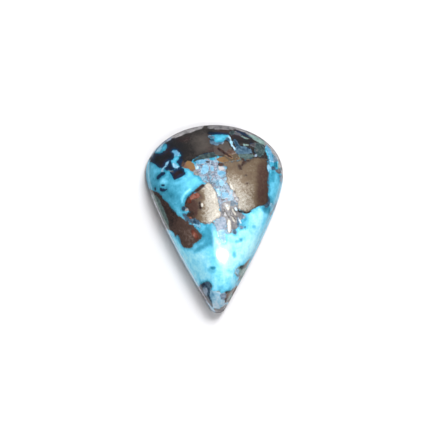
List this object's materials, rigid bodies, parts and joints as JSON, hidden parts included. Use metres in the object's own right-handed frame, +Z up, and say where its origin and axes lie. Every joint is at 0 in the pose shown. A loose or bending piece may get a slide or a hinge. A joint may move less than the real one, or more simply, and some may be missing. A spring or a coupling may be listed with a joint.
{
  "type": "turquoise cabochon",
  "caption": "Pear-shaped polished turquoise cabochon with a high dome, a soft crest to the tip, a narrow girdle and a flat back to rest on or set.",
  "frame": {"origin": "on the flat back, under the middle of the outline's bounding box", "axes": "+Z up out of the dome, +Y along the stone towards the round end, so the tip points along -Y, and X across the stone"},
  "size_m": [0.018, 0.025, 0.0078],
  "materials": {
    "turquoise": "high polish on turquoise with bronze pyrite and brown-black matrix, ground matt on the back"
  },
  "bodies": {
    "root": {"cabochon": "turquoise"}
  },
  "joints": []
}
